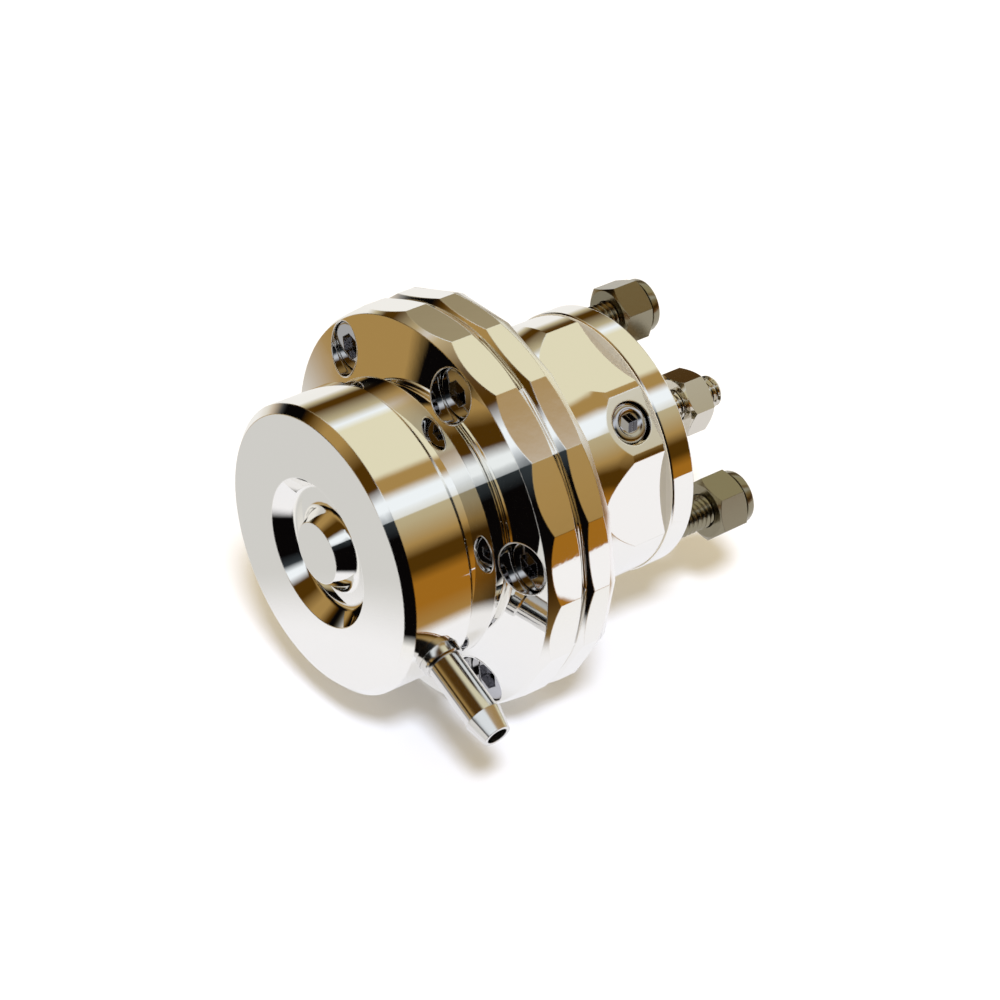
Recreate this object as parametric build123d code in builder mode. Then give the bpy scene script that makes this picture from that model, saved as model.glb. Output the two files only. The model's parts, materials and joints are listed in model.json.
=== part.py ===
from build123d import *
from math import cos, radians, sin, tan
import os

os.makedirs("parts", exist_ok=True)

# A diaphragm actuator for an internal wastegate. All sizes are in millimetres.
# The rod's axis is X. The mounting face is at X = 0, and the rod comes out towards +X.
# The actuator lies on one side of its eighteen-sided flanges, and +Z is up.
# Angles round the axis start at the first base screw and grow downwards on the -Y side.

# Clearances: seat_gap stands for a thread or a press fit, running_gap lets a piece slide.
seat_gap = 0.05
running_gap = 0.05
joint_gap = 0.3
edge_break = 0.3

# Flanges of the two housings
side_count = 18
flange_corner_radius = 34.5
rear_flange_thickness = 5.5
rear_bevel = 1.5
groove_bevel = 0.95
front_bevel_length = 2.0
front_bevel_depth = 0.9
front_edge_length = 4.0
shoulder_rise = 2.55

# Base plate
disc_radius = 23.0
disc_thickness = 4.7
spigot_length = 8.1
spigot_inner_radius = 13.4
guide_radius = 6.4
guide_length = 6.6
seal_cover = 0.8
seal_pocket_length = 1.8
bush_radius = 4.5

# Mounting studs
stud_radius = 3.0
stud_circle_radius = 18.5
stud_angle = 84.0
stud_reach = 19.5
stud_socket_depth = 4.0
stud_nut_start = 11.1

# Lower housing
hub_radius = 22.7
hub_length = 6.7
neck_radius = 20.3
neck_taper_length = 10.5
neck_length = 14.8
neck_cove = 4.0
chamber_radius = 17.6
side_flat_height = 21.3
side_flat_angle = 36.0
screw_flat_height = 22.14

# Upper housing
collar_setback = 10.7
collar_length = 4.9
cap_thread_inset = 4.8
cap_thread_depth = 8.0
stop_hole_radius = 11.0
cap_seal_inset = 2.4
cap_seal_cord_radius = 0.9
cap_seal_groove_depth = 1.55

# Top cap
cap_overhang = 0.9
cap_side_length = 10.9
cap_chamfer_axial = 1.4
cap_chamfer_radial = 1.4
cap_floor = 4.8
cap_bore_radius = 11.0
cap_spigot_length = 7.6
recess_radius = 12.7
recess_floor_radius = 10.4
recess_depth = 3.0
boss_radius = 5.25
boss_root_radius = 7.2
recess_round = 1.2

# Hose barb
barb_angle = 63.5
barb_setback = 5.8
barb_collar_radius = 3.5
barb_collar_length = 2.0
barb_tube_radius = 2.9
barb_head_radius = 3.2
barb_tip_radius = 2.35
barb_head_length = 3.9
barb_length = 16.8
barb_thread_radius = 2.4
barb_thread_length = 6.0
barb_bore_radius = 1.75
spot_face_depth = 0.3

# Diaphragm and the pieces that move with the rod
diaphragm_thickness = 0.8
diaphragm_inset = 2.5
fold_leg_gap = 0.3
fold_leg_length = 5.3
piston_radius = 14.8
piston_wall = 1.7
piston_crown = 2.0
piston_length = 8.0
plate_radius = 14.0
plate_thickness = 1.5
stop_gap = 0.3
rod_radius = 3.0
rod_shoulder_radius = 5.0
rod_shoulder_length = 1.5
rod_past_inner_nut = 0.8
rod_reach = 24.3
rod_end_chamfer = 0.6
rod_nut_start = 15.2

# Springs, with ends ground flat
main_spring_radius = 12.5
main_wire = 2.4
main_coils = 5.0
inner_spring_radius = 8.3
inner_wire = 1.6
inner_coils = 7.0
spring_seat_thickness = 0.8
spring_seat_gap = 0.2
spring_play = 0.1

# M5 socket screws that clamp the flanges
flange_screw_inset = 5.5
flange_screw_count = 6
flange_screw_angle = 30.0
flange_screw_radius = 2.5
flange_screw_length = 8.0
flange_hole_radius = 2.75
flange_head_radius = 4.25
flange_head_height = 5.0
flange_head_bore_radius = 4.45
flange_hex = 4.0
flange_web = 1.8
head_edge = 0.5

# Low-headed M4 socket screws that hold the base plate
base_screw_count = 2
base_screw_setback = 4.5
base_screw_radius = 2.0
base_screw_length = 5.0
base_hole_radius = 2.2
base_head_radius = 3.5
base_head_height = 2.8
base_head_bore_radius = 3.7
base_head_sink = 0.3
base_hex = 3.0
socket_depth_share = 0.55

# M6 nuts
nut_across_flats = 10.0
nut_height = 5.0
nut_face_radius = 4.8
nut_bevel_angle = 30.0
nut_thread_radius = 3.0
lock_nut_height = 8.0
lock_nut_hex_height = 6.0
lock_collar_radius = 4.3
lock_collar_edge = 0.6
lock_lip = 0.3
insert_radius = 3.8
insert_length = 2.0
rod_nut_turn = 30.0
stud_nut_turns = (-4.0, 16.0)

# Stations along the axis
hub_rear = -disc_thickness
hub_front = hub_rear - hub_length
neck_front = hub_front - neck_length
rear_joint = neck_front - rear_flange_thickness
front_joint = rear_joint - diaphragm_thickness
shoulder_rim = front_joint - groove_bevel - front_edge_length - front_bevel_length
collar_rear = shoulder_rim - shoulder_rise
collar_front = collar_rear - collar_length
cap_rear = collar_front - joint_gap
cap_front = cap_rear - cap_side_length - cap_chamfer_axial
spigot_front = hub_rear - spigot_length
guide_front = hub_rear - guide_length
spring_rear = hub_rear - spring_seat_thickness
spring_front = rear_joint + piston_crown
plate_front = front_joint - plate_thickness
stop_face = plate_front - stop_gap
inner_nut_front = plate_front - nut_height
base_screw_x = hub_rear - base_screw_setback
barb_x = cap_front + cap_chamfer_axial + barb_setback

# Derived sizes
datum_lift = 2 * 360 / side_count
groove_rim_radius = flange_corner_radius - groove_bevel
flange_screw_circle_radius = flange_corner_radius - flange_screw_inset
diaphragm_radius = flange_corner_radius - diaphragm_inset
collar_radius = flange_corner_radius - collar_setback
cap_radius = collar_radius + cap_overhang
cap_thread_radius = collar_radius - cap_thread_inset
cap_seal_ring_radius = collar_radius - cap_seal_inset
nut_corner_radius = nut_across_flats / 2 / cos(radians(30))
nut_bevel_drop = (nut_corner_radius - nut_face_radius) * tan(radians(nut_bevel_angle))


def outward(angle):
    """Unit vector that points away from the axis, at an angle from the first base screw."""
    lift = radians(datum_lift - angle)
    return Vector(0, -cos(lift), sin(lift))


def across(x, angle=0, reach=0):
    """Plane square to the axis, centred at a distance from it, with its X towards the first base screw."""
    return Plane(Vector(x, 0, 0) + outward(angle) * reach, x_dir=outward(0), z_dir=(1, 0, 0))


def facing(x, angle, reach):
    """Plane that looks straight away from the axis, at a distance from it."""
    return Plane(Vector(x, 0, 0) + outward(angle) * reach, x_dir=(1, 0, 0), z_dir=outward(angle))


# Half section through the axis: its X is the axis, and its Y is the radius.
half_section = Plane((0, 0, 0), x_dir=(1, 0, 0), z_dir=outward(90))


def export(part, name):
    part.label = name
    export_step(part, f"parts/{name}.step")


def turned(*points):
    """Solid turned about its own Z from points of radius and height."""
    with BuildPart() as blank:
        with BuildSketch(Plane.XZ):
            with BuildLine():
                Polyline(*points, close=True)
            make_face()
        revolve(axis=Axis.Z)
    return blank.part


def socket_screw(thread_radius, length, head_radius, head_height, hex_size):
    """Socket head screw that stands on XY, head up, with its thread below."""
    with BuildPart() as screw:
        Cylinder(head_radius, head_height, align=(Align.CENTER, Align.CENTER, Align.MIN))
        fillet(screw.faces().sort_by(Axis.Z)[-1].edges(), head_edge)
        with BuildSketch(Plane.XY.offset(head_height)):
            RegularPolygon(hex_size / 2, 6, major_radius=False)
        extrude(amount=-head_height * socket_depth_share, mode=Mode.SUBTRACT)
        Cylinder(thread_radius, length, align=(Align.CENTER, Align.CENTER, Align.MAX))
        chamfer(screw.faces().sort_by(Axis.Z)[0].edges(), edge_break)
    return screw.part


def hex_nut(turn):
    """Plain M6 nut that stands on XY, bevelled at both faces."""
    with BuildPart() as nut:
        add(
            turned(
                (0, 0),
                (nut_face_radius, 0),
                (nut_corner_radius, nut_bevel_drop),
                (nut_corner_radius, nut_height - nut_bevel_drop),
                (nut_face_radius, nut_height),
                (0, nut_height),
            )
        )
        with BuildSketch():
            RegularPolygon(nut_corner_radius, 6, rotation=turn)
        extrude(amount=nut_height, mode=Mode.INTERSECT)
        Hole(nut_thread_radius + seat_gap)
    return nut.part


def lock_nut(turn):
    """M6 nut with a round collar on top, which holds a nylon ring."""
    with BuildPart() as nut:
        add(
            turned(
                (0, 0),
                (nut_face_radius, 0),
                (nut_corner_radius, nut_bevel_drop),
                (nut_corner_radius, lock_nut_hex_height - nut_bevel_drop),
                (nut_face_radius, lock_nut_hex_height),
                (lock_collar_radius, lock_nut_hex_height),
                (lock_collar_radius, lock_nut_height - lock_collar_edge),
                (lock_collar_radius - lock_collar_edge, lock_nut_height),
                (0, lock_nut_height),
            )
        )
        with BuildSketch():
            RegularPolygon(nut_corner_radius, 6, rotation=turn)
        extrude(amount=lock_nut_height, mode=Mode.INTERSECT)
        Hole(nut_thread_radius + seat_gap)
        with BuildSketch(Plane.XY.offset(lock_nut_height - lock_lip)):
            Circle(insert_radius)
        extrude(amount=-insert_length - 2 * seat_gap, mode=Mode.SUBTRACT)
    return nut.part


# Top cap: cup with a threaded spigot, and a round boss in a recess on its face
with BuildPart() as top_cap:
    with BuildSketch(half_section):
        with BuildLine():
            FilletPolyline(
                (cap_front, boss_radius),
                (cap_front + recess_depth, boss_root_radius),
                (cap_front + recess_depth, recess_floor_radius),
                (cap_front, recess_radius),
                radius=recess_round,
            )
            Polyline(
                (cap_front, recess_radius),
                (cap_front, cap_radius - cap_chamfer_radial),
                (cap_front + cap_chamfer_axial, cap_radius),
                (cap_rear - edge_break, cap_radius),
                (cap_rear, cap_radius - edge_break),
                (cap_rear, cap_thread_radius),
                (cap_rear + cap_spigot_length, cap_thread_radius),
                (cap_rear + cap_spigot_length, cap_bore_radius),
                (cap_front + cap_floor, cap_bore_radius),
                (cap_front + cap_floor, 0),
                (cap_front, 0),
                (cap_front, boss_radius),
            )
        make_face()
    revolve(axis=Axis.X)
    with BuildSketch(facing(barb_x, barb_angle, cap_radius - spot_face_depth)):
        Circle(barb_collar_radius + seat_gap)
    extrude(amount=spot_face_depth * 2, mode=Mode.SUBTRACT)
    with BuildSketch(facing(barb_x, barb_angle, cap_radius)):
        Circle(barb_thread_radius + seat_gap)
    extrude(amount=-barb_thread_length - spot_face_depth - seat_gap, mode=Mode.SUBTRACT)
    with BuildSketch(facing(barb_x, barb_angle, cap_radius)):
        Circle(barb_bore_radius)
    extrude(amount=-cap_radius, mode=Mode.SUBTRACT)
export(top_cap.part, "top_cap")

# Hose barb, screwed into the side of the cap
with BuildPart(facing(barb_x, barb_angle, cap_radius - spot_face_depth)) as hose_barb:
    add(
        turned(
            (barb_bore_radius, -barb_thread_length),
            (barb_thread_radius, -barb_thread_length),
            (barb_thread_radius, 0),
            (barb_collar_radius, 0),
            (barb_collar_radius, barb_collar_length - edge_break),
            (barb_collar_radius - edge_break, barb_collar_length),
            (barb_tube_radius, barb_collar_length),
            (barb_tube_radius, barb_length - barb_head_length),
            (barb_head_radius, barb_length - barb_head_length),
            (barb_tip_radius, barb_length),
            (barb_bore_radius, barb_length),
        )
    )
export(hose_barb.part, "hose_barb")

# Ring seal between the cap and the collar
with BuildPart() as cap_seal:
    with BuildSketch(half_section):
        with Locations((collar_front + cap_seal_groove_depth - cap_seal_cord_radius, cap_seal_ring_radius)):
            Circle(cap_seal_cord_radius)
    revolve(axis=Axis.X)
export(cap_seal.part, "cap_seal")

# Upper housing: collar, sloping shoulder and front flange
with BuildPart() as upper_housing:
    with BuildSketch(half_section):
        with BuildLine():
            Polyline(
                (front_joint, chamber_radius),
                (front_joint, groove_rim_radius),
                (front_joint - groove_bevel, flange_corner_radius),
                (shoulder_rim + front_bevel_length, flange_corner_radius),
                (shoulder_rim, flange_corner_radius - front_bevel_depth),
                (collar_rear, collar_radius),
                (collar_front + edge_break, collar_radius),
                (collar_front, collar_radius - edge_break),
                (collar_front, cap_thread_radius + seat_gap),
                (collar_front + cap_thread_depth, cap_thread_radius + seat_gap),
                (collar_front + cap_thread_depth, stop_hole_radius),
                (stop_face, stop_hole_radius),
                (stop_face, chamber_radius),
                close=True,
            )
        make_face()
    revolve(axis=Axis.X)
    with BuildSketch(across(collar_front)):
        Circle(cap_seal_ring_radius + cap_seal_cord_radius + seat_gap)
        Circle(cap_seal_ring_radius - cap_seal_cord_radius - seat_gap, mode=Mode.SUBTRACT)
    extrude(amount=cap_seal_groove_depth, mode=Mode.SUBTRACT)
    with BuildSketch(across(front_joint)):
        RegularPolygon(flange_corner_radius, side_count)
    extrude(amount=collar_front - front_joint, mode=Mode.INTERSECT)
    with BuildSketch(across(front_joint)):
        with PolarLocations(flange_screw_circle_radius, flange_screw_count, flange_screw_angle):
            Circle(flange_hole_radius)
    extrude(amount=-flange_web, mode=Mode.SUBTRACT)
    with BuildSketch(across(front_joint - flange_web)):
        with PolarLocations(flange_screw_circle_radius, flange_screw_count, flange_screw_angle):
            Circle(flange_head_bore_radius)
    extrude(amount=collar_front - front_joint, mode=Mode.SUBTRACT)
export(upper_housing.part, "upper_housing")

# Lower housing: rear flange, waisted neck, and hub with its flats
with BuildPart() as lower_housing:
    with BuildSketch(half_section):
        with BuildLine():
            hub_line = Polyline(
                (hub_rear, chamber_radius),
                (hub_rear, hub_radius - edge_break),
                (hub_rear - edge_break, hub_radius),
                (hub_front, hub_radius),
                (hub_front - neck_taper_length, neck_radius),
                (neck_front + neck_cove, neck_radius),
            )
            cove = JernArc(hub_line @ 1, (-1, 0), neck_cove, -90)
            Polyline(
                cove @ 1,
                (neck_front, flange_corner_radius - rear_bevel),
                (neck_front - rear_bevel, flange_corner_radius),
                (rear_joint + groove_bevel, flange_corner_radius),
                (rear_joint, groove_rim_radius),
                (rear_joint, chamber_radius),
                (hub_rear, chamber_radius),
            )
        make_face()
    revolve(axis=Axis.X)
    with BuildSketch(across(hub_rear)):
        RegularPolygon(flange_corner_radius, side_count)
    extrude(amount=rear_joint - hub_rear, mode=Mode.INTERSECT)
    for screw_angle in (0, 180):
        for flat_angle in (screw_angle - side_flat_angle, screw_angle + side_flat_angle):
            with BuildSketch(facing(hub_rear, flat_angle, side_flat_height)):
                Rectangle(hub_length + neck_taper_length, hub_radius, align=(Align.MAX, Align.CENTER))
            extrude(amount=hub_radius, mode=Mode.SUBTRACT)
        with BuildSketch(facing(hub_rear, screw_angle, screw_flat_height)):
            Rectangle(hub_length + neck_taper_length, hub_radius, align=(Align.MAX, Align.CENTER))
        extrude(amount=hub_radius, mode=Mode.SUBTRACT)
        with BuildSketch(facing(base_screw_x, screw_angle, screw_flat_height)):
            Circle(base_head_bore_radius)
        extrude(amount=-base_head_height - base_head_sink, mode=Mode.SUBTRACT)
        with BuildSketch(facing(base_screw_x, screw_angle, screw_flat_height)):
            Circle(base_hole_radius)
        extrude(amount=-hub_radius / 2, mode=Mode.SUBTRACT)
    with BuildSketch(across(neck_front)):
        with PolarLocations(flange_screw_circle_radius, flange_screw_count, flange_screw_angle):
            Circle(flange_screw_radius + seat_gap)
    extrude(amount=-rear_flange_thickness, mode=Mode.SUBTRACT)
export(lower_housing.part, "lower_housing")

# Base plate: disc with a spigot in the housing, and a guide for the rod
with BuildPart() as base_plate:
    with BuildSketch(half_section):
        with BuildLine():
            Polyline(
                (0, rod_radius + edge_break),
                (0, disc_radius - edge_break),
                (-edge_break, disc_radius),
                (hub_rear + edge_break, disc_radius),
                (hub_rear, disc_radius - edge_break),
                (hub_rear, chamber_radius - seat_gap),
                (spigot_front, chamber_radius - seat_gap),
                (spigot_front, spigot_inner_radius),
                (hub_rear, spigot_inner_radius),
                (hub_rear, guide_radius),
                (guide_front, guide_radius),
                (guide_front, bush_radius + seat_gap),
                (-seal_cover, bush_radius + seat_gap),
                (-seal_cover, rod_radius + edge_break),
                close=True,
            )
        make_face()
    revolve(axis=Axis.X)
    for screw_angle in (0, 180):
        with BuildSketch(facing(base_screw_x, screw_angle, chamber_radius)):
            Circle(base_screw_radius + seat_gap)
        extrude(amount=spigot_inner_radius - chamber_radius - edge_break, mode=Mode.SUBTRACT)
        with BuildSketch(across(0, stud_angle + screw_angle, stud_circle_radius)):
            Circle(stud_radius + seat_gap)
        extrude(amount=-stud_socket_depth, mode=Mode.SUBTRACT)
export(base_plate.part, "base_plate")

# Bronze bush that guides the rod
with BuildPart() as rod_bush:
    with BuildSketch(across(guide_front)):
        Circle(bush_radius)
        Circle(rod_radius + running_gap, mode=Mode.SUBTRACT)
    extrude(amount=-guide_front - seal_cover - seal_pocket_length)
export(rod_bush.part, "rod_bush")

# Ring seal on the rod, between the bush and the mounting face
with BuildPart() as rod_seal:
    seal_cord_radius = (bush_radius - rod_radius - running_gap) / 2
    with BuildSketch(half_section):
        with Locations((-seal_cover - seal_pocket_length / 2, bush_radius - seal_cord_radius)):
            Circle(seal_cord_radius)
    revolve(axis=Axis.X)
export(rod_seal.part, "rod_seal")

# Diaphragm: flat sheet with one rolling fold round the piston
with BuildPart() as diaphragm:
    sheet_x = (rear_joint + front_joint) / 2
    half_sheet = diaphragm_thickness / 2
    outer_leg_radius = chamber_radius - fold_leg_gap - half_sheet
    inner_leg_radius = piston_radius + fold_leg_gap + half_sheet
    fold_radius = (outer_leg_radius - inner_leg_radius) / 2
    with BuildSketch(half_section):
        with BuildLine() as sheet_line:
            rim = Line((sheet_x, diaphragm_radius), (sheet_x, outer_leg_radius + fold_radius))
            bend_in = JernArc(rim @ 1, (0, -1), fold_radius, 90)
            outer_leg = Line(bend_in @ 1, bend_in @ 1 + Vector(fold_leg_length, 0))
            fold = JernArc(outer_leg @ 1, (1, 0), fold_radius, -180)
            inner_leg = Line(fold @ 1, fold @ 1 - Vector(fold_leg_length, 0))
            bend_out = JernArc(inner_leg @ 1, (-1, 0), fold_radius, 90)
            Line(bend_out @ 1, (sheet_x, rod_radius + seat_gap))
        trace(line_width=diaphragm_thickness)
    revolve(axis=Axis.X)
    with BuildSketch(across(front_joint)):
        with PolarLocations(flange_screw_circle_radius, flange_screw_count, flange_screw_angle):
            Circle(flange_hole_radius)
    extrude(amount=diaphragm_thickness, mode=Mode.SUBTRACT)
export(diaphragm.part, "diaphragm")

# Plate that clamps the middle of the diaphragm
with BuildPart() as diaphragm_plate:
    with BuildSketch(across(plate_front)):
        Circle(plate_radius)
        Circle(rod_radius + seat_gap, mode=Mode.SUBTRACT)
    extrude(amount=plate_thickness)
    rims = diaphragm_plate.edges().filter_by(GeomType.CIRCLE).group_by(SortBy.RADIUS)[-1]
    fillet(rims, edge_break)
export(diaphragm_plate.part, "diaphragm_plate")

# Piston: cup on the rod side of the diaphragm, which takes the springs
with BuildPart() as piston:
    with BuildSketch(half_section):
        with BuildLine():
            Polyline(
                (rear_joint, rod_radius + seat_gap),
                (rear_joint, piston_radius - edge_break),
                (rear_joint + edge_break, piston_radius),
                (rear_joint + piston_length, piston_radius),
                (rear_joint + piston_length, piston_radius - piston_wall),
                (spring_front, piston_radius - piston_wall),
                (spring_front, rod_radius + seat_gap),
                close=True,
            )
        make_face()
    revolve(axis=Axis.X)
export(piston.part, "piston")

# Actuator rod, with a shoulder behind the piston
with BuildPart() as actuator_rod:
    rod_start = inner_nut_front - rod_past_inner_nut
    with BuildSketch(half_section):
        with BuildLine():
            Polyline(
                (rod_start, 0),
                (rod_start, rod_radius - rod_end_chamfer),
                (rod_start + rod_end_chamfer, rod_radius),
                (spring_front, rod_radius),
                (spring_front, rod_shoulder_radius),
                (spring_front + rod_shoulder_length, rod_shoulder_radius),
                (spring_front + rod_shoulder_length, rod_radius),
                (rod_reach - rod_end_chamfer, rod_radius),
                (rod_reach, rod_radius - rod_end_chamfer),
                (rod_reach, 0),
                close=True,
            )
        make_face()
    revolve(axis=Axis.X)
export(actuator_rod.part, "actuator_rod")

# Nut that holds the plate, the diaphragm and the piston on the rod
with BuildPart(across(inner_nut_front)) as rod_inner_nut:
    add(hex_nut(0))
export(rod_inner_nut.part, "rod_inner_nut")

# Nut that locks the linkage on the rod
with BuildPart(across(rod_nut_start)) as rod_lock_nut:
    add(hex_nut(rod_nut_turn))
export(rod_lock_nut.part, "rod_lock_nut")

# Washer under the springs
with BuildPart() as spring_seat:
    with BuildSketch(across(spring_rear)):
        Circle(spigot_inner_radius - spring_seat_gap)
        Circle(guide_radius + spring_seat_gap, mode=Mode.SUBTRACT)
    extrude(amount=spring_seat_thickness)
export(spring_seat.part, "spring_seat")

# Two nested springs
for name, outer_radius, wire, coils in (
    ("main_spring", main_spring_radius, main_wire, main_coils),
    ("inner_spring", inner_spring_radius, inner_wire, inner_coils),
):
    spring_start = spring_front + spring_play
    spring_length = spring_rear - spring_play - spring_start
    coil_radius = outer_radius - wire / 2
    with BuildPart() as spring:
        with BuildLine() as coil:
            Helix(spring_length / coils, spring_length, coil_radius, (spring_start, 0, 0), (1, 0, 0))
        with BuildSketch(Plane(coil.line @ 0, z_dir=coil.line % 0)):
            Circle(wire / 2)
        sweep(path=coil.line, is_frenet=True)
        with BuildSketch(across(spring_start)):
            Circle(outer_radius + wire)
        extrude(amount=spring_length, mode=Mode.INTERSECT)
    export(spring.part, name)

# Screws through the flanges
flange_screw = socket_screw(
    flange_screw_radius, flange_screw_length, flange_head_radius, flange_head_height, flange_hex
)
for index in range(flange_screw_count):
    screw_angle = flange_screw_angle + index * 360 / flange_screw_count
    seat = across(front_joint - flange_web, screw_angle, flange_screw_circle_radius)
    with BuildPart(Plane(seat.origin, x_dir=seat.x_dir, z_dir=-seat.z_dir)) as screw:
        add(flange_screw)
    export(screw.part, f"flange_screw_{index + 1}")

# Screws that hold the base plate in the lower housing
base_screw = socket_screw(
    base_screw_radius, base_screw_length, base_head_radius, base_head_height, base_hex
)
for index in range(base_screw_count):
    screw_angle = index * 360 / base_screw_count
    seat_reach = screw_flat_height - base_head_sink - base_head_height
    with BuildPart(facing(base_screw_x, screw_angle, seat_reach)) as screw:
        add(base_screw)
    export(screw.part, f"base_screw_{index + 1}")

# Mounting studs with their lock nuts and nylon rings
for index, nut_turn in enumerate(stud_nut_turns):
    angle = stud_angle + index * 180
    with BuildPart() as stud:
        with BuildSketch(across(-stud_socket_depth + seat_gap, angle, stud_circle_radius)):
            Circle(stud_radius)
        extrude(amount=stud_reach + stud_socket_depth - seat_gap)
        chamfer(stud.edges().sort_by(Axis.X)[-1], edge_break)
    export(stud.part, f"mount_stud_{index + 1}")
    with BuildPart(across(stud_nut_start, angle, stud_circle_radius)) as nut:
        add(lock_nut(nut_turn))
    export(nut.part, f"stud_nut_{index + 1}")
    insert_x = stud_nut_start + lock_nut_height - lock_lip - insert_length - seat_gap
    with BuildPart() as insert:
        with BuildSketch(across(insert_x, angle, stud_circle_radius)):
            Circle(insert_radius - seat_gap)
            Circle(stud_radius + seat_gap, mode=Mode.SUBTRACT)
        extrude(amount=insert_length)
    export(insert.part, f"nut_insert_{index + 1}")
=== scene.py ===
import json
from math import cos, pi, radians, sin, tan

import bpy
from mathutils import Matrix, Vector


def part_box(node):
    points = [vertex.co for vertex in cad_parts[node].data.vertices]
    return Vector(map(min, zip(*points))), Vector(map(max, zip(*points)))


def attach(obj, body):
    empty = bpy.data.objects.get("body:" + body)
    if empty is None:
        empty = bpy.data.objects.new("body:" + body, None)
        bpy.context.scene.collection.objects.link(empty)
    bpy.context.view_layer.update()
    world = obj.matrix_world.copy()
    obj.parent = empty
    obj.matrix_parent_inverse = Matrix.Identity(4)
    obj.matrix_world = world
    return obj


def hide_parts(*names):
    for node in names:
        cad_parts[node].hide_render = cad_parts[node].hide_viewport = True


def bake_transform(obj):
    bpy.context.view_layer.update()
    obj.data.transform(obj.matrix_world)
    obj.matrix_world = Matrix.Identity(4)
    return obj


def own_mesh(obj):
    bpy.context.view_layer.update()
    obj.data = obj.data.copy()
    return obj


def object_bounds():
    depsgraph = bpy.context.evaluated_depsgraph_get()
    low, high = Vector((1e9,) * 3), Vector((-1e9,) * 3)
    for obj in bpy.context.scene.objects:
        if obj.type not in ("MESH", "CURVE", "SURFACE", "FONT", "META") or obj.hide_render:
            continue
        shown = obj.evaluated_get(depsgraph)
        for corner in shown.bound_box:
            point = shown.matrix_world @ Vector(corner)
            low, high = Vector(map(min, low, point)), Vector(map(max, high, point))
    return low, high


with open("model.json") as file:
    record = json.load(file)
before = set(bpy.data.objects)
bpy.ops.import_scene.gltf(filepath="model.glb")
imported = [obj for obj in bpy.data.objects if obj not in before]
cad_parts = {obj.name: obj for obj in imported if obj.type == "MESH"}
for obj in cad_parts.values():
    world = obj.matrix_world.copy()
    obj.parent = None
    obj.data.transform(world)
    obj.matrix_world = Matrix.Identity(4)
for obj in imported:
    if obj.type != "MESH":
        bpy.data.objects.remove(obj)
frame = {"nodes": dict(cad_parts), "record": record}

cad_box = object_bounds()
mm = 0.001

# A wastegate actuator in mirror polished aluminium, dressed round its CAD nodes.
# The rod's axis is X and points out of the mounting face, and +Z is up. Lengths are in metres.

# Camera, turned from the object's -Y side
view_azimuth = radians(-38.63)
view_elevation = radians(33.5)
view_roll = radians(1.12)
lens_length = 104.4
view_distance = 479.2 * mm
aim_point = Vector((-23.72, 0, 0)) * mm
aim_shift_right = -0.9 * mm
aim_shift_up = 3.3 * mm

merge_distance = 0.001 * mm

# Facets of what is round, and the angles above which an edge stays sharp
rod_sides = 96
screw_sides = 64
hole_sides = 32
thread_sharp = radians(25)
rod_sharp = radians(30)
turned_sharp = radians(35)
bent_sharp = radians(40)

# Threads of the studs and the rod
thread_pitch = 1.0 * mm
thread_depth = 0.6 * mm
thread_crest = 0.125 * mm
thread_steps = 36
thread_spare_turns = 3
thread_chamfer = 0.7 * mm
rod_thread_length = 16.0 * mm

# Rod: its shank ends in a runout, where the thread begins
rod_radius = 3.0 * mm
rod_runout = 0.6 * mm
rod_collar_radius = 5.0 * mm
rod_collar_length = 1.5 * mm
rod_collar_edge = 0.2 * mm

# Springs: wire and coils as in the CAD nodes
spring_sizes = {"main_spring": (2.4 * mm, 5), "inner_spring": (1.6 * mm, 7)}
spring_steps = 48
wire_sides = 20
spring_play = 0.1 * mm

# Diaphragm: radii to the middle of its sheet, on both legs of its fold round the piston
sheet_thickness = 0.8 * mm
outer_leg_radius = 16.9 * mm
inner_leg_radius = 15.5 * mm
fold_leg_length = 5.3 * mm
fold_arc_sides = 24
sheet_steps = 96
screw_hole_radius = 2.75 * mm
rod_hole_radius = 3.05 * mm

# Base screws and the collars of the lock nuts: place along the axis from the top, and radius
base_screw_stations = [
    (x * mm, radius * mm)
    for x, radius in (
        (-7.8, 1.5),
        (-7.8, 1.7),
        (-7.5, 2.0),
        (-2.8, 2.0),
        (-2.8, 3.5),
        (-0.9, 3.5),
        (-0.5, 3.4),
        (-0.2, 3.15),
        (0, 2.7),
        (0, 2.3),
        (-0.12, 2.15),
        (-0.35, 1.8),
    )
]
base_socket_radius = 1.73 * mm
base_socket_depth = 1.7 * mm
collar_stations = [
    (x * mm, radius * mm)
    for x, radius in (
        (-1.75, 4.5),
        (-1.6, 4.74),
        (-0.55, 4.74),
        (-0.15, 4.55),
        (0.02, 4.2),
        (0.02, 4.0),
        (-1.75, 4.0),
        (-1.75, 4.5),
    )
]

# Step of the base plate, behind the hub
base_thickness = 4.7 * mm
step_depth = 0.08 * mm
step_inner_radius = 21.2 * mm
step_outer_radius = 22.85 * mm

# Flanges: the line where they meet, and the bevel round the rear one
flange_sides = 18
groove_corner_radius = 33.55 * mm
joint_inner_radius = 32.6 * mm
joint_line = 0.04 * mm
rear_face = -26.2 * mm
rear_corner_radius = 34.497 * mm
rear_inner_radius = 32.5 * mm
rear_length = 1.5 * mm
rear_slope_length = 1.0 * mm
rear_drop = 0.45 * mm

# Counterbores of the flange screws
flange_screws = [f"flange_screw_{number}" for number in range(1, 7)]
counterbore_radius = 4.45 * mm
counterbore_edge = 0.14 * mm
counterbore_sides = 72
counterbore_edge_sides = 10


def flat_select():
    """Leaves nothing selected, so that the next operator acts on its own piece alone."""
    if bpy.context.object and bpy.context.object.mode != "OBJECT":
        bpy.ops.object.mode_set(mode="OBJECT")
    bpy.ops.object.select_all(action="DESELECT")


def select(piece):
    """Selects one piece alone and makes it the active one."""
    flat_select()
    piece.select_set(True)
    bpy.context.view_layer.objects.active = piece


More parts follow.
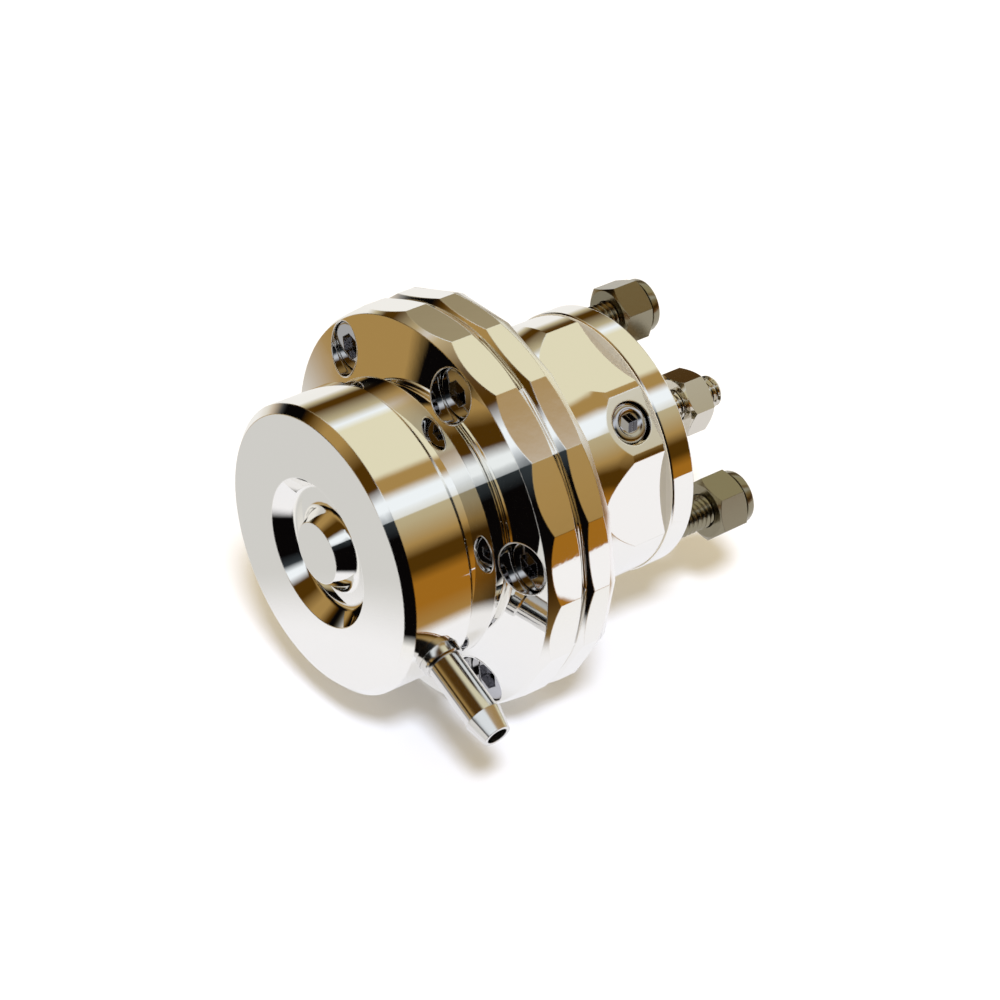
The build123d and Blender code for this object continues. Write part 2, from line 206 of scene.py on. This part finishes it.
def pick(piece, wanted):
    """Selects the vertices whose place is wanted, and leaves the piece in edit mode."""
    bpy.ops.object.mode_set(mode="EDIT")
    bpy.ops.mesh.select_all(action="DESELECT")
    bpy.ops.object.mode_set(mode="OBJECT")
    for vertex in piece.data.vertices:
        vertex.select = wanted(vertex.co)
    bpy.ops.object.mode_set(mode="EDIT")


def trim(start, end):
    """Cuts what is being edited off at two places on the rod's axis, closes it and ends the edit."""
    for x, outer in ((start, False), (end, True)):
        bpy.ops.mesh.select_all(action="SELECT")
        bpy.ops.mesh.bisect(
            plane_co=(x, 0, 0),
            plane_no=(1, 0, 0),
            use_fill=True,
            clear_outer=outer,
            clear_inner=not outer,
            threshold=merge_distance,
        )
    bpy.ops.mesh.select_all(action="SELECT")
    bpy.ops.mesh.normals_make_consistent(inside=False)
    bpy.ops.object.mode_set(mode="OBJECT")


def apply_modifiers(piece):
    bpy.context.view_layer.objects.active = piece
    for modifier in list(piece.modifiers):
        bpy.ops.object.modifier_apply(modifier=modifier.name)


def cut_away(piece, tool):
    """Takes the shape of a tool out of a piece, and removes the tool."""
    cut = piece.modifiers.new("cut", "BOOLEAN")
    cut.operation = "DIFFERENCE"
    cut.object = tool
    apply_modifiers(piece)
    select(tool)
    bpy.ops.object.delete()


def set_out(model, places, turns=None):
    """Moves a model to the first of its places, and a copy with its own mesh to each other one."""
    pieces = [model]
    for _ in places[1:]:
        piece = model.copy()
        piece.data = model.data.copy()
        bpy.context.scene.collection.objects.link(piece)
        pieces.append(piece)
    for number, piece in enumerate(pieces):
        select(piece)
        piece.location = places[number]
        if turns:
            piece.rotation_euler = turns[number]
        bpy.ops.object.transform_apply()
    return pieces


def settle(piece, name, finish, body, *nodes):
    """Names a finished piece, gives it its material and body, and hides the CAD nodes it stands for.
    A piece that bends between two bodies is given none here."""
    piece.name = name
    piece.data.name = name
    piece.data.materials.clear()
    piece.data.materials.append(finish)
    if body:
        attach(piece, body)
    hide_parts(*nodes)
    return piece


def centre(node):
    """Middle of a CAD node's box."""
    low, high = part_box(node)
    return (low + high) / 2


def off_axis(node):
    """How far to the side of the rod's axis a CAD node lies."""
    middle = centre(node)
    return Vector((0, middle.y, middle.z))


# Materials
bevel_samples = 4
grain_detail = 3


def linear(hex_colour):
    """Linear colour with full alpha from an sRGB hex value."""
    channels = [int(hex_colour[i : i + 2], 16) / 255 for i in (0, 2, 4)]
    return [c / 12.92 if c <= 0.04045 else ((c + 0.055) / 1.055) ** 2.4 for c in channels] + [1]


def add_node(tree, kind, settings=None, **links):
    """Adds a node. Settings are attributes or socket values, and links are sockets to join or set."""
    node = tree.nodes.new(kind)
    for key, value in (settings or {}).items():
        if hasattr(node, key):
            setattr(node, key, value)
        else:
            node.inputs[key].default_value = value
    for key, source in links.items():
        socket = node.inputs[int(key[1:])] if key[0] == "i" and key[1:].isdigit() else node.inputs[key]
        if isinstance(source, bpy.types.NodeSocket):
            tree.links.new(source, socket)
        else:
            socket.default_value = source
    return node


def metal(name, colour, roughness, edge_round=0, grain=0, grain_size=1 * mm, metallic=1):
    """Metal with rounded edges and a fine uneven surface."""
    material = bpy.data.materials.new(name)
    material.use_nodes = True
    tree = material.node_tree
    shader = tree.nodes["Principled BSDF"]
    shader.inputs["Base Color"].default_value = linear(colour)
    shader.inputs["Metallic"].default_value = metallic
    shader.inputs["Roughness"].default_value = roughness
    place = add_node(tree, "ShaderNodeTexCoord").outputs["Object"]
    normal = None
    if edge_round:
        rounded = add_node(tree, "ShaderNodeBevel", {"samples": bevel_samples, "Radius": edge_round})
        normal = rounded.outputs["Normal"]
    if grain:
        noise = add_node(
            tree, "ShaderNodeTexNoise", {"Scale": 1 / grain_size, "Detail": grain_detail}, Vector=place
        )
        bump = add_node(tree, "ShaderNodeBump", {"Distance": grain}, Height=noise.outputs["Fac"])
        if normal:
            tree.links.new(normal, bump.inputs["Normal"])
        normal = bump.outputs["Normal"]
    if normal:
        tree.links.new(normal, shader.inputs["Normal"])
    return material


def plain(name, colour, roughness):
    """Material with no metal in it."""
    material = bpy.data.materials.new(name)
    material.use_nodes = True
    shader = material.node_tree.nodes["Principled BSDF"]
    shader.inputs["Base Color"].default_value = linear(colour)
    shader.inputs["Roughness"].default_value = roughness
    return material


# Aluminium, turned and mirror polished: a clear, slightly warm mirror of all that stands round it
polished_aluminium = metal(
    "polished_aluminium",
    "F8F7F4",
    0.02,
    edge_round=0.25 * mm,
    grain=0.006 * mm,
    grain_size=4 * mm,
)
# Aluminium, edges rounded by the polishing mop: they glint softly all round
edge_aluminium = metal("edge_aluminium", "FFFFFF", 0.3)
# Aluminium, turned and left matt: an even pale cream that takes the light of the room
satin_aluminium = metal("satin_aluminium", "F6F0E0", 0.55, metallic=0.35)
# Aluminium, turned and lightly polished: the barb's reflections are a little blurred
barb_aluminium = metal("barb_aluminium", "E4E3E1", 0.14, edge_round=0.12 * mm)
# Aluminium as turned, for the piston and its plate: satin, with no clear reflections
turned_aluminium = metal("turned_aluminium", "DADBDD", 0.3)
# Stainless steel, cold formed: the lock nuts, their collars and the studs are greyer and browner than
# the aluminium
stud_steel = metal(
    "stud_steel", "928B76", 0.2, edge_round=0.15 * mm, grain=0.004 * mm, grain_size=0.6 * mm
)
# Stainless steel, bright: the rod and its nuts are clear mirrors, a little darker than the aluminium
rod_steel = metal("rod_steel", "D6D1C6", 0.07, edge_round=0.12 * mm)
# Steel, bright chromed: the socket screws are dark mirrors in their counterbores
screw_steel = metal("screw_steel", "BEBEC2", 0.06, edge_round=0.2 * mm)
# Spring wire, drawn and oiled
spring_steel = metal("spring_steel", "8F9296", 0.28)
# Bronze, sintered: a dull brown bush
bronze = metal("bronze", "A8743C", 0.35)
# Nylon, moulded and undyed: the pale ring in each lock nut
nylon = plain("nylon", "E6E4DA", 0.4)
# Rubber, moulded: seals and diaphragm, nearly black and dull
rubber = plain("rubber", "1C1C1D", 0.6)

finishes = {
    "polished_aluminium": polished_aluminium,
    "barb_aluminium": barb_aluminium,
    "turned_aluminium": turned_aluminium,
    "stud_steel": stud_steel,
    "rod_steel": rod_steel,
    "screw_steel": screw_steel,
    "spring_steel": spring_steel,
    "bronze": bronze,
    "nylon": nylon,
    "rubber": rubber,
}
for subpart in frame["record"]["subparts"]:
    node = frame["nodes"][subpart["node"]]
    node.data.materials.clear()
    node.data.materials.append(finishes[subpart["material_slot"]])


# Ways of making that several pieces share


def threaded(start, end, outer_radius):
    """Threaded bar along the rod's axis, with its tip chamfered. The thread is one V, wound by a screw."""
    flat_select()
    bpy.ops.mesh.primitive_circle_add(vertices=4, radius=thread_pitch / 2)
    bar = bpy.context.object
    root_radius = outer_radius - thread_depth
    for vertex in bar.data.vertices:
        vertex.co.y = root_radius + vertex.co.y * thread_depth / (thread_pitch / 2)
    pick(bar, lambda at: at.y < root_radius - thread_depth / 2)
    bpy.ops.mesh.delete(type="VERT")
    pick(bar, lambda at: at.y > root_radius + thread_depth / 2)
    bpy.ops.mesh.bevel(affect="VERTICES", offset=thread_crest, offset_type="OFFSET")
    bpy.ops.mesh.select_all(action="SELECT")
    bpy.ops.transform.translate(value=(start - thread_pitch, 0, 0))
    bpy.ops.object.mode_set(mode="OBJECT")
    wind = bar.modifiers.new("thread", "SCREW")
    wind.axis = "X"
    wind.screw_offset = thread_pitch
    wind.iterations = int((end - start) / thread_pitch) + thread_spare_turns
    wind.steps = thread_steps
    wind.render_steps = thread_steps
    apply_modifiers(bar)
    bpy.ops.object.mode_set(mode="EDIT")
    bpy.ops.mesh.select_all(action="SELECT")
    bpy.ops.mesh.remove_doubles(threshold=thread_crest / 10)
    trim(start, end)
    for vertex in bar.data.vertices:
        reach = Vector((0, vertex.co.y, vertex.co.z))
        limit = outer_radius - max(0, vertex.co.x - end + thread_chamfer)
        if reach.length > limit:
            reach *= limit / reach.length
        vertex.co = Vector((vertex.co.x, reach.y, reach.z))
    bpy.ops.object.shade_smooth_by_angle(angle=thread_sharp)
    return bar


def turned(stations, sides, hollow=False):
    """Piece turned about the rod's axis, extruded from station to station of place and radius.
    A hollow one has no end faces, and its last station is its first one."""
    x, radius = stations[0]
    flat_select()
    bpy.ops.mesh.primitive_circle_add(
        vertices=sides,
        radius=radius,
        fill_type="NOTHING" if hollow else "NGON",
        location=(x, 0, 0),
        rotation=(0, pi / 2, 0),
    )
    bpy.ops.object.transform_apply()
    bpy.ops.object.mode_set(mode="EDIT")
    bpy.ops.mesh.select_all(action="SELECT")
    for next_x, next_radius in stations[1:]:
        if hollow:
            bpy.ops.mesh.extrude_edges_move(TRANSFORM_OT_translate={"value": (next_x - x, 0, 0)})
        else:
            bpy.ops.mesh.extrude_region_move(TRANSFORM_OT_translate={"value": (next_x - x, 0, 0)})
        scale = next_radius / radius
        bpy.ops.transform.resize(value=(1, scale, scale), center_override=(next_x, 0, 0))
        x, radius = next_x, next_radius
    bpy.ops.mesh.select_all(action="SELECT")
    if hollow:
        bpy.ops.mesh.remove_doubles(threshold=merge_distance)
    bpy.ops.mesh.normals_make_consistent(inside=False)
    bpy.ops.object.mode_set(mode="OBJECT")
    return bpy.context.object


# Mounting studs: threaded from end to end
studs = ("mount_stud_1", "mount_stud_2")
low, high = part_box(studs[0])
stud_bar = threaded(low.x, high.x, (high.z - low.z) / 2)
for bar, stud in zip(set_out(stud_bar, [off_axis(stud) for stud in studs]), studs):
    settle(bar, stud + "_thread", stud_steel, "housing", stud)

# Rod: a bright shank with a collar behind the piston, and a thread at each end
rod_low, rod_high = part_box("actuator_rod")
piston_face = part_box("main_spring")[0].x - spring_play
thread_start = rod_high.x - rod_thread_length
inner_thread_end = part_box("diaphragm_plate")[0].x
core_radius = rod_radius - thread_depth
shank = turned(
    (
        (inner_thread_end, core_radius - thread_chamfer),
        (inner_thread_end, core_radius),
        (inner_thread_end + rod_runout, rod_radius),
        (piston_face, rod_radius),
        (piston_face, rod_collar_radius - rod_collar_edge),
        (piston_face + rod_collar_edge, rod_collar_radius),
        (piston_face + rod_collar_length - rod_collar_edge, rod_collar_radius),
        (piston_face + rod_collar_length, rod_collar_radius - rod_collar_edge),
        (piston_face + rod_collar_length, rod_radius),
        (thread_start, rod_radius),
        (thread_start + rod_runout, core_radius),
        (thread_start + rod_runout, core_radius - thread_chamfer),
    ),
    rod_sides,
)
bpy.ops.object.shade_smooth_by_angle(angle=rod_sharp)
settle(shank, "rod_shank", rod_steel, "rod", "actuator_rod")
tip = threaded(thread_start, rod_high.x, rod_radius)
settle(tip, "rod_thread", rod_steel, "rod", "actuator_rod")
inner_tip = threaded(rod_low.x, inner_thread_end, rod_radius)
settle(inner_tip, "rod_inner_thread", rod_steel, "rod", "actuator_rod")

# Springs: each is one ring of wire, wound by a screw and ground flat at both ends
for spring, (wire, turns) in spring_sizes.items():
    low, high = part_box(spring)
    coil_radius = (high.z - low.z - wire) / 2
    flat_select()
    bpy.ops.mesh.primitive_circle_add(vertices=wire_sides, radius=wire / 2)
    coil = bpy.context.object
    bpy.ops.object.mode_set(mode="EDIT")
    bpy.ops.mesh.select_all(action="SELECT")
    bpy.ops.transform.translate(value=(low.x, coil_radius, 0))
    bpy.ops.object.mode_set(mode="OBJECT")
    wind = coil.modifiers.new("wind", "SCREW")
    wind.axis = "X"
    wind.screw_offset = (high.x - low.x) / turns
    wind.iterations = turns
    wind.steps = spring_steps
    wind.render_steps = spring_steps
    apply_modifiers(coil)
    bpy.ops.object.mode_set(mode="EDIT")
    bpy.ops.mesh.select_all(action="SELECT")
    bpy.ops.mesh.fill_holes(sides=wire_sides)
    trim(low.x, high.x)
    bpy.ops.object.shade_smooth_by_angle(angle=bent_sharp)
    settle(coil, spring + "_coil", spring_steel, "housing", spring)
    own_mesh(coil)

# Diaphragm: two halves that meet at the bottom of the fold
sheet_low, sheet_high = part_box("diaphragm")
sheet_x = sheet_low.x + sheet_thickness / 2
fold_radius = (outer_leg_radius - inner_leg_radius) / 2
fold_x = sheet_x + fold_radius + fold_leg_length


def half_diaphragm(leg_radius, outward, edge_radius):
    """One half of the diaphragm, spun round the axis: half of the fold, a leg, a bend and flat sheet."""
    middle = (outer_leg_radius + inner_leg_radius) / 2
    flat_select()
    bpy.ops.mesh.primitive_circle_add(
        vertices=fold_arc_sides, radius=fold_radius, location=(fold_x, middle, 0)
    )
    bpy.ops.object.transform_apply()
    half = bpy.context.object
    near = fold_radius / fold_arc_sides
    pick(half, lambda at: at.x < fold_x - near or (at.y - middle) * outward < -near)
    bpy.ops.mesh.delete(type="VERT")
    pick(half, lambda at: abs(at.y - leg_radius) < near and abs(at.x - fold_x) < near)
    bpy.ops.mesh.extrude_region_move(TRANSFORM_OT_translate={"value": (-fold_leg_length, 0, 0)})
    bend_centre = (sheet_x + fold_radius, leg_radius + outward * fold_radius, 0)
    bpy.ops.mesh.spin(
        steps=fold_arc_sides // 4, angle=pi / 2, center=bend_centre, axis=(0, 0, outward)
    )
    flat_width = edge_radius - leg_radius - outward * fold_radius
    bpy.ops.mesh.extrude_region_move(TRANSFORM_OT_translate={"value": (0, flat_width, 0)})
    bpy.ops.object.mode_set(mode="OBJECT")
    turn = half.modifiers.new("turn", "SCREW")
    turn.axis = "X"
    turn.steps = sheet_steps
    turn.render_steps = sheet_steps
    wall = half.modifiers.new("wall", "SOLIDIFY")
    wall.thickness = sheet_thickness
    wall.offset = 0
    apply_modifiers(half)
    bpy.ops.object.shade_smooth_by_angle(angle=bent_sharp)
    return half


outer_half = half_diaphragm(outer_leg_radius, 1, sheet_high.z)
for screw in flange_screws:
    hole = off_axis(screw)
    flat_select()
    bpy.ops.mesh.primitive_cylinder_add(
        vertices=hole_sides,
        radius=screw_hole_radius,
        depth=4 * sheet_thickness,
        location=(sheet_x, hole.y, hole.z),
        rotation=(0, pi / 2, 0),
    )
    cut_away(outer_half, bpy.context.object)
settle(outer_half, "diaphragm_outer_half", rubber, None, "diaphragm")
inner_half = half_diaphragm(inner_leg_radius, -1, rod_hole_radius)
settle(inner_half, "diaphragm_inner_half", rubber, None, "diaphragm")
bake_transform(outer_half)
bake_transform(inner_half)

# Joint ring: carries the bevels of both flanges on until they meet in a fine line over the diaphragm
joint_front = sheet_low.x + joint_line
joint_rear = sheet_low.x + sheet_thickness - joint_line
joint_ring = turned(
    (
        (joint_front, groove_corner_radius),
        (sheet_x, groove_corner_radius - sheet_thickness / 2),
        (joint_rear, groove_corner_radius),
        (joint_rear, joint_inner_radius),
        (joint_front, joint_inner_radius),
        (joint_front, groove_corner_radius),
    ),
    flange_sides,
    hollow=True,
)
settle(joint_ring, "flange_joint_ring", polished_aluminium, "housing")

# Rear flange: the bevel round its rear face is flat from one corner to the next, like its sides, and
# starts just under them
rear_bevel = turned(
    (
        (rear_face - rear_length, rear_corner_radius),
        (rear_face - rear_slope_length, rear_corner_radius),
        (rear_face, rear_corner_radius - rear_drop),
        (rear_face, rear_inner_radius),
        (rear_face - rear_length, rear_inner_radius),
        (rear_face - rear_length, rear_corner_radius),
    ),
    flange_sides,
    hollow=True,
)
bpy.ops.object.shade_smooth_by_angle(angle=turned_sharp)
settle(rear_bevel, "flange_rear_bevel", edge_aluminium, "housing")

# Counterbores in the shoulder: each has a polished round edge, which is cast along X onto the shoulder
shoulder = frame["nodes"]["upper_housing"]
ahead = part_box("top_cap")[0].x
for number, screw in enumerate(flange_screws, 1):
    axis = off_axis(screw)
    flat_select()
    bpy.ops.mesh.primitive_torus_add(
        major_radius=counterbore_radius,
        minor_radius=counterbore_edge,
        major_segments=counterbore_sides,
        minor_segments=counterbore_edge_sides,
        location=axis,
        rotation=(0, pi / 2, 0),
    )
    bpy.ops.object.transform_apply()
    ring = bpy.context.object
    for vertex in ring.data.vertices:
        spoke = Vector((0, vertex.co.y - axis.y, vertex.co.z - axis.z)).normalized()
        foot = Vector((ahead, axis.y, axis.z)) + spoke * (counterbore_radius + 2 * counterbore_edge)
        hit = shoulder.ray_cast(foot, Vector((1, 0, 0)))[1]
        vertex.co.x += hit.x + counterbore_edge / 2
    bpy.ops.object.shade_smooth()
    settle(ring, f"counterbore_edge_{number}", edge_aluminium, "housing")

# Screws of the base plate: rounded heads with a bevelled hexagon socket
base_screws = ("base_screw_1", "base_screw_2")
base_screw = turned(base_screw_stations, screw_sides)
bpy.ops.mesh.primitive_cylinder_add(
    vertices=6, radius=base_socket_radius, depth=2 * base_socket_depth, rotation=(0, pi / 2, 0)
)
cut_away(base_screw, bpy.context.object)
select(base_screw)
bpy.ops.object.shade_smooth_by_angle(angle=turned_sharp)
tops = []
turns = []
for node in base_screws:
    out = off_axis(node).normalized()
    reach = max(vertex.co.dot(out) for vertex in frame["nodes"][node].data.vertices)
    tops.append(Vector((centre(node).x, 0, 0)) + out * reach)
    turns.append(out.to_track_quat("X", "Z").to_euler())
for screw, node in zip(set_out(base_screw, tops, turns), base_screws):
    settle(screw, node + "_turned", screw_steel, "housing", node)

# Step of the base plate behind the hub: turned, but out of the mop's reach, so it stays matt
step_face = turned(
    (
        (-base_thickness - step_depth, step_inner_radius),
        (-base_thickness - step_depth, step_outer_radius),
        (-base_thickness, step_outer_radius),
        (-base_thickness, step_inner_radius),
        (-base_thickness - step_depth, step_inner_radius),
    ),
    rod_sides,
    hollow=True,
)
bpy.ops.object.shade_smooth_by_angle(angle=turned_sharp)
settle(step_face, "base_plate_step", satin_aluminium, "housing")

# Lock nuts: a rolled collar over the nylon ring, with a dark line between it and the hexagon
nuts = ("stud_nut_1", "stud_nut_2")
nut_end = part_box(nuts[0])[1].x
collar = turned([(nut_end + x, radius) for x, radius in collar_stations], screw_sides, hollow=True)
bpy.ops.object.shade_smooth_by_angle(angle=turned_sharp)
for number, piece in enumerate(set_out(collar, [off_axis(nut) for nut in nuts]), 1):
    settle(piece, f"stud_nut_collar_{number}", stud_steel, "housing")

# Camera
back = Vector(
    (
        sin(view_azimuth) * cos(view_elevation),
        -cos(view_azimuth) * cos(view_elevation),
        sin(view_elevation),
    )
)
level = Vector((cos(view_azimuth), sin(view_azimuth), 0))
above = back.cross(level)
right = cos(view_roll) * level + sin(view_roll) * above
up = cos(view_roll) * above - sin(view_roll) * level
camera_data = bpy.data.cameras.new("camera")
camera_data.lens = lens_length
camera_data.clip_start = 10 * mm
camera = bpy.data.objects.new("camera", camera_data)
bpy.context.scene.collection.objects.link(camera)
camera.matrix_world = Matrix.LocRotScale(
    aim_point - aim_shift_right * right - aim_shift_up * up + view_distance * back,
    Matrix((right, up, back)).transposed(),
    None,
)
bpy.context.scene.camera = camera

# Floor: white to the camera, with the object's shadow. Mirrors see it only as two sheets of paper, an
# oval one under the object and an oblong one beside it, because this bright a mirror would otherwise
# show one endless white table. To them the paper is lit evenly, with a light shadow.
floor_size = 3.0
floor_white = "F4F4F4"
paper_colour = "828284"
paper_light = "D4D4D6"
# Centre, half the length and width, and where the edge starts to fade and ends, as shares of those
paper_sheets = {
    "oval": (Vector((-20, 0, 0)) * mm, 75 * mm, 52 * mm, 0.8, 1.12),
    "oblong": (Vector((121, -60, 0)) * mm, 102 * mm, 74 * mm, 0.99, 1.01),
}

flat_select()
bpy.ops.mesh.primitive_plane_add(size=floor_size, location=(0, 0, cad_box[0][2]))
floor = bpy.context.object
floor.name = "floor"
white_sheet = bpy.data.materials.new("white_sheet")
white_sheet.use_nodes = True
tree = white_sheet.node_tree
tree.nodes.remove(tree.nodes["Principled BSDF"])
rays = add_node(tree, "ShaderNodeLightPath")
place = add_node(tree, "ShaderNodeTexCoord").outputs["Object"]
shown = rays.outputs["Is Camera Ray"]
for shape, (middle, half_length, half_width, inner, outer) in paper_sheets.items():
    on_sheet = add_node(
        tree,
        "ShaderNodeMapping",
        {"vector_type": "POINT"},
        Vector=place,
        Location=(-middle.x / half_length, -middle.y / half_width, 0),
        Scale=(1 / half_length, 1 / half_width, 0),
    ).outputs[0]
    if shape == "oval":
        distance = add_node(
            tree, "ShaderNodeVectorMath", {"operation": "LENGTH"}, i0=on_sheet
        ).outputs["Value"]
    else:
        sides = add_node(
            tree,
            "ShaderNodeSeparateXYZ",
            Vector=add_node(
                tree, "ShaderNodeVectorMath", {"operation": "ABSOLUTE"}, i0=on_sheet
            ).outputs[0],
        )
        distance = add_node(
            tree,
            "ShaderNodeMath",
            {"operation": "MAXIMUM"},
            i0=sides.outputs["X"],
            i1=sides.outputs["Y"],
        ).outputs[0]
    sheet = add_node(
        tree,
        "ShaderNodeMapRange",
        {
            "interpolation_type": "SMOOTHSTEP",
            "From Min": inner,
            "From Max": outer,
            "To Min": 1,
            "To Max": 0,
        },
        Value=distance,
    ).outputs[0]
    shown = add_node(
        tree, "ShaderNodeMath", {"operation": "MAXIMUM"}, i0=shown, i1=sheet
    ).outputs[0]
reflected_paper = add_node(
    tree,
    "ShaderNodeAddShader",
    i0=add_node(tree, "ShaderNodeBsdfDiffuse", {"Color": linear(paper_colour)}).outputs[0],
    i1=add_node(tree, "ShaderNodeEmission", {"Color": linear(paper_light)}).outputs[0],
)
surface = add_node(
    tree,
    "ShaderNodeMixShader",
    i0=rays.outputs["Is Camera Ray"],
    i1=reflected_paper.outputs[0],
    i2=add_node(tree, "ShaderNodeBsdfDiffuse", {"Color": linear(floor_white)}).outputs[0],
)
floor_or_room = add_node(
    tree,
    "ShaderNodeMixShader",
    i0=shown,
    i1=add_node(tree, "ShaderNodeBsdfTransparent").outputs[0],
    i2=surface.outputs[0],
)
tree.links.new(floor_or_room.outputs[0], tree.nodes["Material Output"].inputs["Surface"])
floor.data.materials.append(white_sheet)

# World: white to the camera and plain soft light to all that is dull. Mirrors see a room of bands
# round the rod's axis, by the angle in degrees from the object's -Y side upwards. On the rod's side it
# has paper below, woodwork and strip lights at the sides and a cream wall above. On the cap's side it is
# mostly dark, over paper.
room_surfaces = {
    "paper": "F4F2EE",
    "grey paper": "D4D3D0",
    "strip light": "F4FAFF",
    "cream wall": "E4DEC0",
    "sand": "BCB08E",
    "tan wood": "A8874E",
    "amber wood": "A06A1E",
    "dark wood": "4E3208",
    "slate": "343A3E",
    "black": "080606",
}
turn_start = -165
turn_end = 195
room_behind = (
    (turn_start, "paper"),
    (-62, "paper"),
    (-54, "tan wood"),
    (-28, "amber wood"),
    (-10, "amber wood"),
    (0, "dark wood"),
    (10, "dark wood"),
    (19, "tan wood"),
    (38, "sand"),
    (47, "strip light"),
    (55, "strip light"),
    (62, "tan wood"),
    (71, "tan wood"),
    (76, "cream wall"),
    (122, "cream wall"),
    (129, "strip light"),
    (137, "sand"),
    (154, "dark wood"),
    (161, "dark wood"),
    (168, "sand"),
    (175, "paper"),
    (turn_end, "paper"),
)
room_in_front = (
    (turn_start, "tan wood"),
    (-157, "tan wood"),
    (-149, "grey paper"),
    (-125, "grey paper"),
    (-100, "paper"),
    (-68, "paper"),
    (-60, "black"),
    (22, "black"),
    (40, "slate"),
    (52, "strip light"),
    (62, "strip light"),
    (77, "dark wood"),
    (100, "dark wood"),
    (124, "tan wood"),
    (138, "tan wood"),
    (152, "dark wood"),
    (158, "black"),
    (176, "black"),
    (184, "tan wood"),
    (188, "sand"),
    (turn_end, "tan wood"),
)
# Where the room in front of the cap ends and the one behind it starts, along a direction's X
front_end = -0.25
behind_start = 0.15
# Straight ahead of the cap, on its far side, the room fades to black: along a direction's X and Y
dark_ahead = (-0.68, -0.73)
dark_far_side = (0.48, 0.54)
# Light on what is dull: warm from all round and cool from one soft lamp, together white
backdrop = "FFFFFF"
surround = "E6D6B6"
lamp_strength = 2.9
lamp_colour = "DEE8FF"
lamp_spread = radians(10)
lamp_from_above = radians(38)
lamp_azimuth = radians(-33)

world = bpy.data.worlds.new("studio")
bpy.context.scene.world = world
world.use_nodes = True
tree = world.node_tree
rays = add_node(tree, "ShaderNodeLightPath")
direction = add_node(tree, "ShaderNodeTexCoord").outputs["Generated"]
parts = add_node(tree, "ShaderNodeSeparateXYZ", Vector=direction)
towards = add_node(tree, "ShaderNodeMath", {"operation": "MULTIPLY"}, i0=parts.outputs["Y"], i1=-1)
angle = add_node(
    tree, "ShaderNodeMath", {"operation": "ARCTAN2"}, i0=parts.outputs["Z"], i1=towards.outputs[0]
)
wrapped = add_node(
    tree,
    "ShaderNodeMath",
    {"operation": "WRAP"},
    i0=angle.outputs[0],
    i1=radians(turn_end),
    i2=radians(turn_start),
)
turn_share = add_node(
    tree,
    "ShaderNodeMapRange",
    {"From Min": radians(turn_start), "From Max": radians(turn_end)},
    Value=wrapped.outputs[0],
)


def bands(stops):
    """Colours by the angle round the rod's axis, from the stops of one side of the room."""
    colours = add_node(tree, "ShaderNodeValToRGB", Fac=turn_share.outputs[0])
    elements = colours.color_ramp.elements
    while len(elements) < len(stops):
        elements.new(1)
    for element, (turn, surface) in zip(elements, stops):
        element.position = (turn - turn_start) / (turn_end - turn_start)
        element.color = linear(room_surfaces[surface])
    return colours.outputs["Color"]


facing = add_node(
    tree,
    "ShaderNodeMapRange",
    {"interpolation_type": "SMOOTHSTEP", "From Min": front_end, "From Max": behind_start},
    Value=parts.outputs["X"],
)
room = add_node(
    tree,
    "ShaderNodeMix",
    {"data_type": "RGBA"},
    i0=facing.outputs[0],
    i6=bands(room_in_front),
    i7=bands(room_behind),
)
dark_shares = [
    add_node(
        tree, "ShaderNodeMapRange", {"From Min": start, "From Max": end}, Value=parts.outputs[axis]
    ).outputs[0]
    for axis, (start, end) in (("X", dark_ahead), ("Y", dark_far_side))
]
darkness = add_node(
    tree, "ShaderNodeMath", {"operation": "MULTIPLY"}, i0=dark_shares[0], i1=dark_shares[1]
)
darkened = add_node(
    tree,
    "ShaderNodeMix",
    {"data_type": "RGBA"},
    i0=darkness.outputs[0],
    i6=room.outputs[2],
    i7=linear(room_surfaces["black"]),
)
reflected = add_node(
    tree,
    "ShaderNodeMix",
    {"data_type": "RGBA"},
    i0=rays.outputs["Is Glossy Ray"],
    i6=linear(surround),
    i7=darkened.outputs[2],
)
seen = add_node(
    tree,
    "ShaderNodeMix",
    {"data_type": "RGBA"},
    i0=rays.outputs["Is Camera Ray"],
    i6=reflected.outputs[2],
    i7=linear(backdrop),
)
tree.links.new(seen.outputs[2], tree.nodes["Background"].inputs["Color"])

lamp_data = bpy.data.lights.new("soft_lamp", "SUN")
lamp_data.energy = lamp_strength
lamp_data.color = linear(lamp_colour)[:3]
lamp_data.angle = lamp_spread
lamp = bpy.data.objects.new("soft_lamp", lamp_data)
bpy.context.scene.collection.objects.link(lamp)
lamp_side = Vector((sin(lamp_azimuth), -cos(lamp_azimuth), 0))
lamp_line = Vector((0, 0, 1)) + tan(lamp_from_above) * lamp_side
lamp.rotation_euler = lamp_line.to_track_quat("Z", "Y").to_euler()
lamp.visible_glossy = False

bpy.context.scene.view_settings.view_transform = "Standard"
